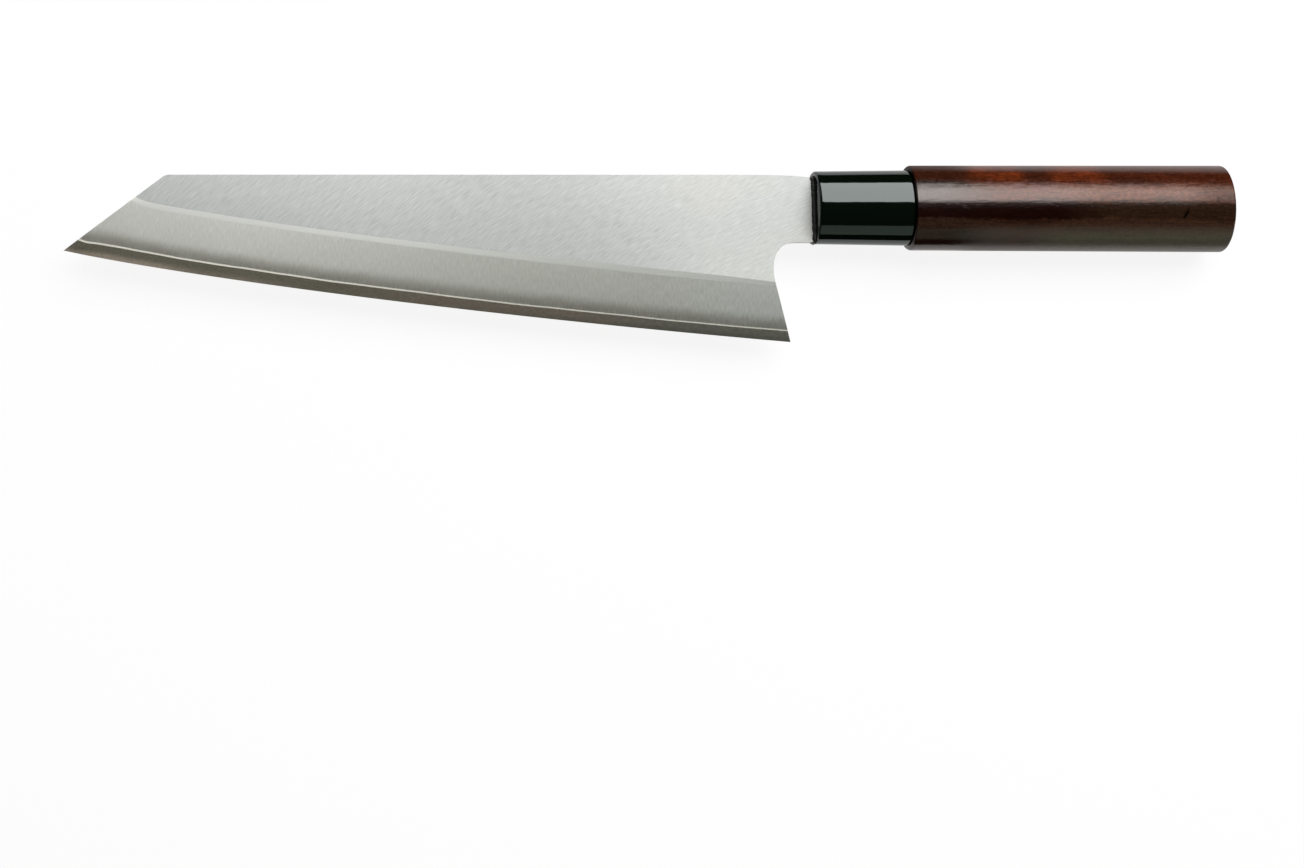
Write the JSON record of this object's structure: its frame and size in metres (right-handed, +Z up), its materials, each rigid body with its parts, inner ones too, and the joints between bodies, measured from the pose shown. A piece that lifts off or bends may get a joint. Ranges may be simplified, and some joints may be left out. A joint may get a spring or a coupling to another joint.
{
  "type": "kitchen knife",
  "caption": "Long kitchen knife with a clipped tip, a laminated double-bevel steel blade and an oval lacquered wood handle with a black ferrule.",
  "frame": {"origin": "on the surface the knife lies on, under the middle of its outline", "axes": "+X along the handle's axis towards the butt, +Y towards the spine, +Z up, square to the blade's middle plane, with the blade's left side on top"},
  "size_m": [0.3558, 0.0546, 0.0184],
  "materials": {
    "core_steel": "fine ground, dark",
    "clad_steel": "satin, brushed on the flats and stone ground on the bevels",
    "black_resin": "cured adhesive bead",
    "black_plastic": "polished",
    "red_wood": "dark red-brown, lacquered",
    "clear_resin": "cured epoxy"
  },
  "bodies": {
    "root": {"blade_core": "core_steel", "cladding_left": "clad_steel", "cladding_right": "clad_steel", "neck_seal": "black_resin", "ferrule": "black_plastic", "handle_wood": "red_wood", "tang_bedding": "clear_resin"}
  },
  "joints": []
}
